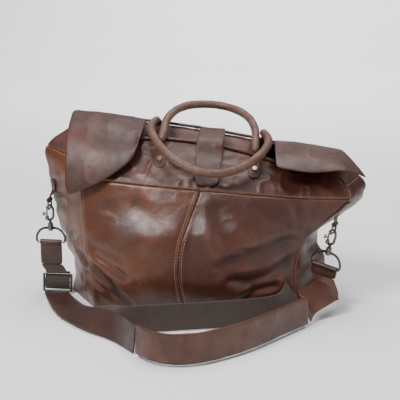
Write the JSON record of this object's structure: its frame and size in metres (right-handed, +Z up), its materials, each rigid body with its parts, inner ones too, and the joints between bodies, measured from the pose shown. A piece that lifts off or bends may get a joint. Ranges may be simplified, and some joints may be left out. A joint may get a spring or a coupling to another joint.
{
  "type": "weekender bag",
  "caption": "Soft leather travel bag with rolled carrying handles, folding mouth flaps, a zip and a clip-on shoulder strap with a pad, slumped as when set down half empty.",
  "frame": {"origin": "centre of the base on the floor", "axes": "+Z up, front faces -Y, length along X"},
  "size_m": [0.5481, 0.4402, 0.3199],
  "materials": {
    "leather_brown": "glossy, worn",
    "leather_tan": "glossy, worn",
    "leather_dark": "glossy, worn",
    "handle_leather": "glossy, worn",
    "pad_leather": "glossy, worn",
    "webbing": "ribbed weave",
    "zip_tape": "woven",
    "stiffener": "matt",
    "dark_metal": "gunmetal",
    "brass": "worn"
  },
  "bodies": {
    "bag": {"front_panel_left": "leather_tan", "front_panel_right": "leather_brown", "back_panel_right": "leather_brown", "back_panel_left": "leather_brown", "right_gusset": "leather_brown", "left_gusset": "leather_tan", "right_gusset_top": "leather_dark", "left_gusset_top": "leather_dark", "front_yoke": "leather_brown", "rear_yoke": "leather_brown", "base_panel": "leather_dark", "base_board": "stiffener", "front_rim": "leather_dark", "rear_rim": "leather_dark", "zip_tape_front": "zip_tape", "zip_tape_rear": "zip_tape", "front_handle_tab_left": "leather_brown", "rear_handle_tab_left": "leather_brown", "front_rivet_left": "brass", "rear_rivet_left": "brass", "front_handle_tab_right": "leather_brown", "rear_handle_tab_right": "leather_brown", "front_rivet_right": "brass", "rear_rivet_right": "brass", "closure_tab": "leather_brown", "left_ring_tab": "leather_dark", "left_strap_loop": "dark_metal", "right_ring_tab": "leather_dark", "right_strap_loop": "dark_metal", "strap_end_left": "leather_dark", "strap_end_right": "leather_dark", "strap_slider": "dark_metal", "strap_link_left": "webbing", "strap_outer_left": "leather_dark", "strap_inner": "webbing", "shoulder_pad": "pad_leather", "pad_backing": "webbing", "strap_outer_right": "leather_dark"},
    "zip_slider": {"zip_slider": "dark_metal"},
    "zip_puller": {"zip_puller": "leather_dark"},
    "front_handle": {"front_handle": "handle_leather"},
    "rear_handle": {"rear_handle": "handle_leather"},
    "left_wing": {"left_wing": "leather_brown"},
    "right_wing": {"right_wing": "leather_brown"},
    "left_ring": {"left_ring": "dark_metal"},
    "right_ring": {"right_ring": "dark_metal"},
    "left_hook": {"left_hook": "dark_metal"},
    "right_hook": {"right_hook": "dark_metal"},
    "left_hook_bolt": {"left_hook_bolt": "dark_metal"},
    "right_hook_bolt": {"right_hook_bolt": "dark_metal"}
  },
  "joints": [
    {"name": "front_handle_swing", "type": "hinge", "parent": "bag", "child": "front_handle", "pos_m": [0.01, -0.03785, 0.2653], "axis": [0.995, 0, -0.0995], "range_deg": [0, 75]},
    {"name": "rear_handle_swing", "type": "hinge", "parent": "bag", "child": "rear_handle", "pos_m": [0.0075, 0.00704, 0.28512], "axis": [-0.995, 0, 0.0995], "range_deg": [0, 110]},
    {"name": "left_wing_lift", "type": "hinge", "parent": "bag", "child": "left_wing", "pos_m": [-0.22116, 0.014, 0.30649], "axis": [-0.9936, -0.024, 0.1103], "range_deg": [0, 90]},
    {"name": "right_wing_lift", "type": "hinge", "parent": "bag", "child": "right_wing", "pos_m": [0.1118, 0.016, 0.2621], "axis": [-0.9911, 0.0816, 0.1055], "range_deg": [0, 85]},
    {"name": "zip_slide", "type": "slide", "parent": "bag", "child": "zip_slider", "axis": [-0.9933, 0, 0.1152], "range_m": [0, 0.25]},
    {"name": "zip_puller_lift", "type": "hinge", "parent": "zip_slider", "child": "zip_puller", "pos_m": [0.13074, 0.008, 0.21871], "axis": [0, 1, 0], "range_deg": [0, 60]},
    {"name": "left_hook_swivel", "type": "hinge", "parent": "bag", "child": "left_hook", "pos_m": [-0.25806, -0.01654, 0.14871], "axis": [0, 0, 1], "range_deg": [-18, 18]},
    {"name": "left_hook_bolt_slide", "type": "slide", "parent": "left_hook", "child": "left_hook_bolt", "axis": [0, 0, -1], "range_m": [0, 0.0055], "stiffness_N_per_m": 60, "springref_m": -0.003},
    {"name": "left_ring_swing", "type": "hinge", "parent": "bag", "child": "left_ring", "pos_m": [-0.25806, -0.01654, 0.16021], "axis": [0, 1, 0], "range_deg": [-3, 3]},
    {"name": "right_hook_swivel", "type": "hinge", "parent": "bag", "child": "right_hook", "pos_m": [0.21127, -0.05703, 0.13341], "axis": [0.1866, -0.0681, 0.9801], "range_deg": [-18, 18]},
    {"name": "right_hook_bolt_slide", "type": "slide", "parent": "right_hook", "child": "right_hook_bolt", "axis": [-0.1866, 0.0681, -0.9801], "range_m": [0, 0.0055], "stiffness_N_per_m": 60, "springref_m": -0.003},
    {"name": "right_ring_swing", "type": "hinge", "parent": "bag", "child": "right_ring", "pos_m": [0.21341, -0.05781, 0.14468], "axis": [0.3429, 0.9394, 0], "range_deg": [-3, 3]}
  ]
}
